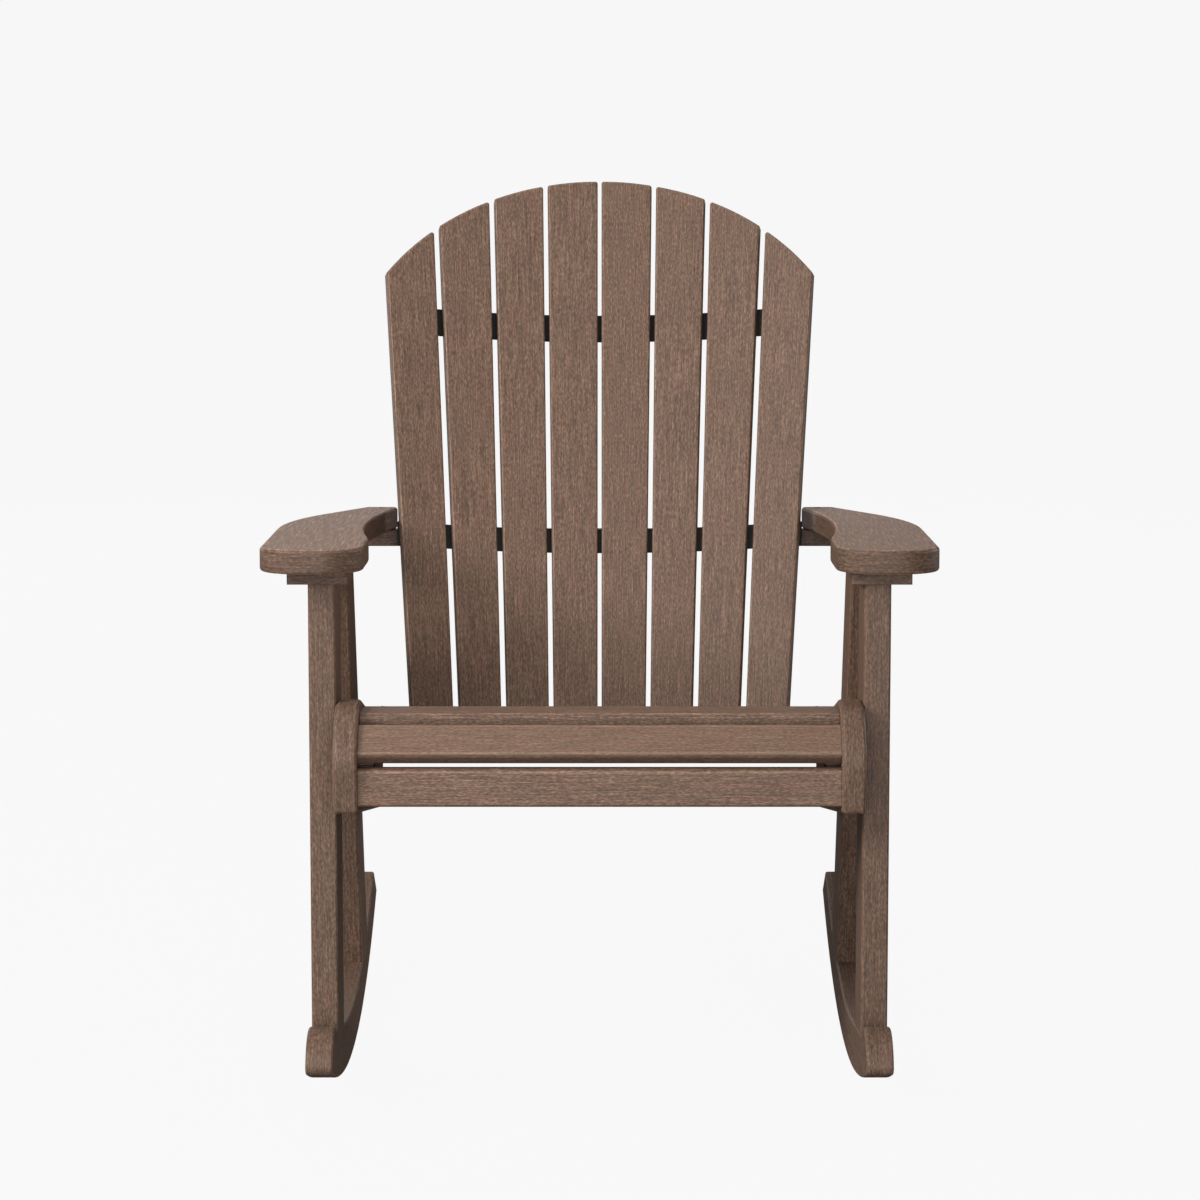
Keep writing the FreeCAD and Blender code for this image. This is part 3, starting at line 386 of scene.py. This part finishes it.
def poly_lumber(name, along, out, seed, tones_and_painted_light, long_share, contrast):
    """Poly lumber with its grain along one board, the tones of its wide faces and edges, some of
    them painted light and shade, and a painted highlight along its corners.
    """
    graph = Graph(bpy.data.materials.new(name))
    board = on_board(graph, along, out, seed)
    facing = facing_out(graph, out)
    wide_face = facing.between(*WIDE_FACE)
    edge_highlight = paint_edge_highlight(facing)
    streak = brushed(graph, board, wide_face, long_share)

    face_tone, edge_tone = tones_and_painted_light
    tone_and_painted_light = edge_tone + wide_face * (face_tone - edge_tone)
    drift = 1 - DRIFT_DEPTH / 2 + graph.noise(board, DRIFT_CELL) * DRIFT_DEPTH
    # painted highlight: the corner bands lighten the colour; the board's tones may hold painted
    # light and shade too
    level = 2 ** (streak * contrast) * drift * (1 + edge_highlight * EDGE_HIGHLIGHT_GAIN) * tone_and_painted_light
    shades = graph.node("ShaderNodeCombineColor", {}, {0: level, 1: level, 2: level})
    roughness = ROUGHNESS + streak * STREAK_ROUGHNESS - edge_highlight * EDGE_HIGHLIGHT_POLISH
    return graph.finish({
        "Base Color": graph.mix(1.0, mixed_brown(graph, board), shades, blend="MULTIPLY"),
        "Roughness": roughness.clamped(*ROUGHNESS_LIMITS),
        "Normal": graph.bump(GRAIN_BUMP, GRAIN_RELIEF, streak),
        "Specular IOR Level": SPECULAR,
    })


print("poly lumber's roughness:", ROUGHNESS, "within", ROUGHNESS_LIMITS)

# %% [markdown]
# ## A finish for each board
# Each kind of board has its own pair of tones, for its wide faces and for its edges. The arms'
# tops are painted lighter and their edges darker: painted light and shade, for the top light that
# falls on the level tops and not on the sides. The arms also show more of the long streaks. The
# seat's front boards are painted a little lighter than the rest, as painted light for the top
# light that they catch. The rear crossbar is painted darker, as painted shade for the shadow of
# the arm and the back above it. The streaks are weak on the second seat board, whose slanting face
# the lamps rake, and strong on the third, of which the camera's view shows hardly more than the
# front edge.

# %% Every board gets its material
USUAL_TONES = (1.0, 0.90)
TONES_AND_PAINTED_LIGHT = {
    # arm: tops painted lighter and edges darker, as painted light and shade; seat's front boards
    # painted lighter, as painted light
    "arm": (1.40, 0.82), "seat_slat_1": (1.15, 0.90), "seat_slat_2": (1.18, 0.90),
    # rear_crossbar: painted darker, as painted shade for the shadow of the arm and the back above
    # it
    "seat_slat_3": (1.18, 0.93), "back_slat": (1.05, 0.90), "rear_crossbar": (0.75, 0.70),
}
ARM_LONG_SHARE = 1.5
USUAL_CONTRAST = 3.3
CONTRASTS = {"seat_slat_2": 2.2, "seat_slat_3": 4.2}


def give(name, material):
    """Puts one material on a CAD node, in place of its own."""
    nodes[name].data.materials.clear()
    nodes[name].data.materials.append(material)


for seed, name in enumerate(boards, start=1):
    along, out = board_axes(name)
    kind = name.rsplit("_", 1)[0]
    tones_and_painted_light = TONES_AND_PAINTED_LIGHT.get(name, TONES_AND_PAINTED_LIGHT.get(kind, USUAL_TONES))
    long_share = ARM_LONG_SHARE if kind == "arm" else LONG_SHARE
    contrast = CONTRASTS.get(name, USUAL_CONTRAST)
    give(name, poly_lumber(f"poly_{name}", along, out, seed, tones_and_painted_light, long_share, contrast))
print("boards finished:", len(boards))

# %% [markdown]
# ## Black bars, screws and pins
# The two flat bars behind the back are powder-coated: black, with a soft sheen and the faint
# orange peel of baked powder. The screws that show are coated dark, and those inside are plain
# zinc. One material with a fine peel and a little dust does for all of them, each with its own
# tint and size of peel, and for the pale plastic of the arms' pins.

# %% A coating with a fine peel
DUST_CELL = 0.05
DUST_BAND = (0.45, 0.8)
DUST_SHARE = 0.5
DUST_GAIN = 1.6
PEEL_BUMP = 0.4
PEEL_ROUGHNESS = 0.12


def coating(name, tint, roughness, peel_size, peel_depth, metallic):
    """A finish with a fine, even peel, a little lighter where dust lies."""
    graph = Graph(bpy.data.materials.new(name))
    place = graph.place()
    peel = graph.noise(place, (peel_size,) * 3)
    dust = graph.noise(place, (DUST_CELL,) * 3, detail=3)
    dusty = tuple(value * DUST_GAIN for value in tint)
    return graph.finish({
        "Base Color": graph.mix(dust.between(*DUST_BAND) * DUST_SHARE, tint, dusty),
        "Roughness": roughness + peel * PEEL_ROUGHNESS,
        "Metallic": metallic,
        "Normal": graph.bump(PEEL_BUMP, peel_depth, peel),
    })


# each finish: its tint, roughness, size and depth of the peel in metres, and metallic
COATINGS = {
    "black_powder_coat": ((0.012, 0.0125, 0.0128), 0.42, 0.0012, 0.0001, 0.0),
    "dark_screw_coat": ((0.020, 0.016, 0.014), 0.38, 0.0015, 0.00005, 0.0),
    "zinc_plate": ((0.55, 0.55, 0.54), 0.30, 0.002, 0.00005, 1.0),
    "pin_plastic": ((0.62, 0.58, 0.48), 0.5, 0.002, 0.00005, 0.0),
}
coatings = {name: coating(name, *values) for name, values in COATINGS.items()}
print("coatings:", ", ".join(coatings))

# %% Bars, pins and screws get theirs
DARK_SCREWS = ("arm_rear_screws", "frame_screws", "back_bar_screws", "cleat_screws")


def coating_of(name):
    """The finish of a bar, of the pins or of a set of screws, by its node's name."""
    if "screws" in name:
        return "dark_screw_coat" if name in DARK_SCREWS else "zinc_plate"
    return "pin_plastic" if "pins" in name else "black_powder_coat"


others = [name for name in nodes if name not in boards]
for name in others:
    give(name, coatings[coating_of(name)])
print("bars, pins and sets of screws:", len(others))

# %% [markdown]
# ## Studio
# The photograph is a cut-out on a near-white ground. The ground could be lit to that white, but
# then it would light the chair from below and wash its shadows out. Instead Light Path lets the
# floor and the world be their own near-white to the camera alone, with hardly any light for the
# chair. What the boards reflect shows them too, weaker, which gives the arms' level tops their
# pale sheen. The floor keeps a faint shadow of the runners: a small share of it is a plain grey
# that the lamps light.

# %% Floor
GROUND_WHITE = 0.930
GROUND_SHEEN = 0.05
GROUND_GREY = (0.40, 0.40, 0.40, 1)
SHADOW_SHARE = 0.04
STAGE_HALF = 40.0


def ray_kinds(graph):
    """1 for what the camera sees itself, and 1 for what a glossy surface reflects."""
    return [
        graph.node("ShaderNodeLightPath", {}, {}, output=kind)
        for kind in ("Is Camera Ray", "Is Glossy Ray")
    ]


corners = [(-1, -1), (1, -1), (1, 1), (-1, 1)]
floor_mesh = bpy.data.meshes.new("floor")
ground_points = [(x * STAGE_HALF, y * STAGE_HALF, 0) for x, y in corners]
floor_mesh.from_pydata(ground_points, [], [(0, 1, 2, 3)])
floor = bpy.data.objects.new("floor", floor_mesh)
scene.collection.objects.link(floor)

ground = Graph(bpy.data.materials.new("pale_ground"))
seen, glossy = ray_kinds(ground)
matt = ground.node("ShaderNodeBsdfDiffuse", {}, {"Color": GROUND_GREY})
bright = seen * (GROUND_WHITE / (1 - SHADOW_SHARE)) + glossy * GROUND_SHEEN
glow = ground.node("ShaderNodeEmission", {}, {"Strength": bright})
own_light = seen * (1 - SHADOW_SHARE) + glossy
mixed = ground.node("ShaderNodeMixShader", {}, {0: own_light, 1: matt, 2: glow})
ground.node("ShaderNodeOutputMaterial", {}, {"Surface": mixed})
floor_mesh.materials.append(ground.owner)
print("floor half width:", STAGE_HALF)

# %% World
WORLD_LIGHT = 0.01
WORLD_SHEEN = 0.08

scene.world = bpy.data.worlds.new("studio")
sky = Graph(scene.world)
seen, glossy = ray_kinds(sky)
level = WORLD_LIGHT + seen * (GROUND_WHITE - WORLD_LIGHT) + glossy * (WORLD_SHEEN - WORLD_LIGHT)
shell = sky.node("ShaderNodeBackground", {}, {"Color": (1, 1, 1, 1), "Strength": level})
sky.node("ShaderNodeOutputWorld", {}, {"Surface": shell})
scene.view_settings.view_transform = "Standard"
print("world light:", WORLD_LIGHT, "and what the camera sees:", GROUND_WHITE)

# %% [markdown]
# ## Lamps
# The photograph is lit softly from above and from the front, with stronger lamps on the left,
# which leave the inner sides dark and shade the lower left of the back. Weaker ones stand behind
# the chair and on its right, so that its other sides can be seen as well. All of them are square
# area lamps a metre or two wide, because small ones would draw hard shadows, and all point at the
# seat.

# %% Lamps round the chair
SEAT_MIDDLE = Vector((0, -0.1, 0.5))
# each lamp: its place, its width in metres and its power in watts
LAMPS = {
    "top": ((0.0, 0.3, 3.4), 2.4, 22),
    "front": ((0.3, -4.0, 1.4), 2.4, 56),
    "left_front": ((-1.8, -2.6, 2.9), 1.4, 28),
    "left": ((-3.0, -1.8, 2.3), 1.2, 72),
    "right": ((3.0, 1.6, 1.2), 1.6, 22),
    "rear_left": ((-2.4, 2.8, 1.1), 1.6, 16),
    "back": ((-0.3, 3.4, 1.5), 2.4, 13),
}

for name, (spot, width, power) in LAMPS.items():
    lamp_data = bpy.data.lights.new(name, "AREA")
    lamp_data.shape = "SQUARE"
    lamp_data.size = width
    lamp_data.energy = power
    lamp = bpy.data.objects.new(name, lamp_data)
    scene.collection.objects.link(lamp)
    lamp.location = spot
    lamp.rotation_euler = (SEAT_MIDDLE - lamp.location).to_track_quat("-Z", "Y").to_euler()
    lamp.visible_camera = False
print("lamps:", ", ".join(LAMPS))
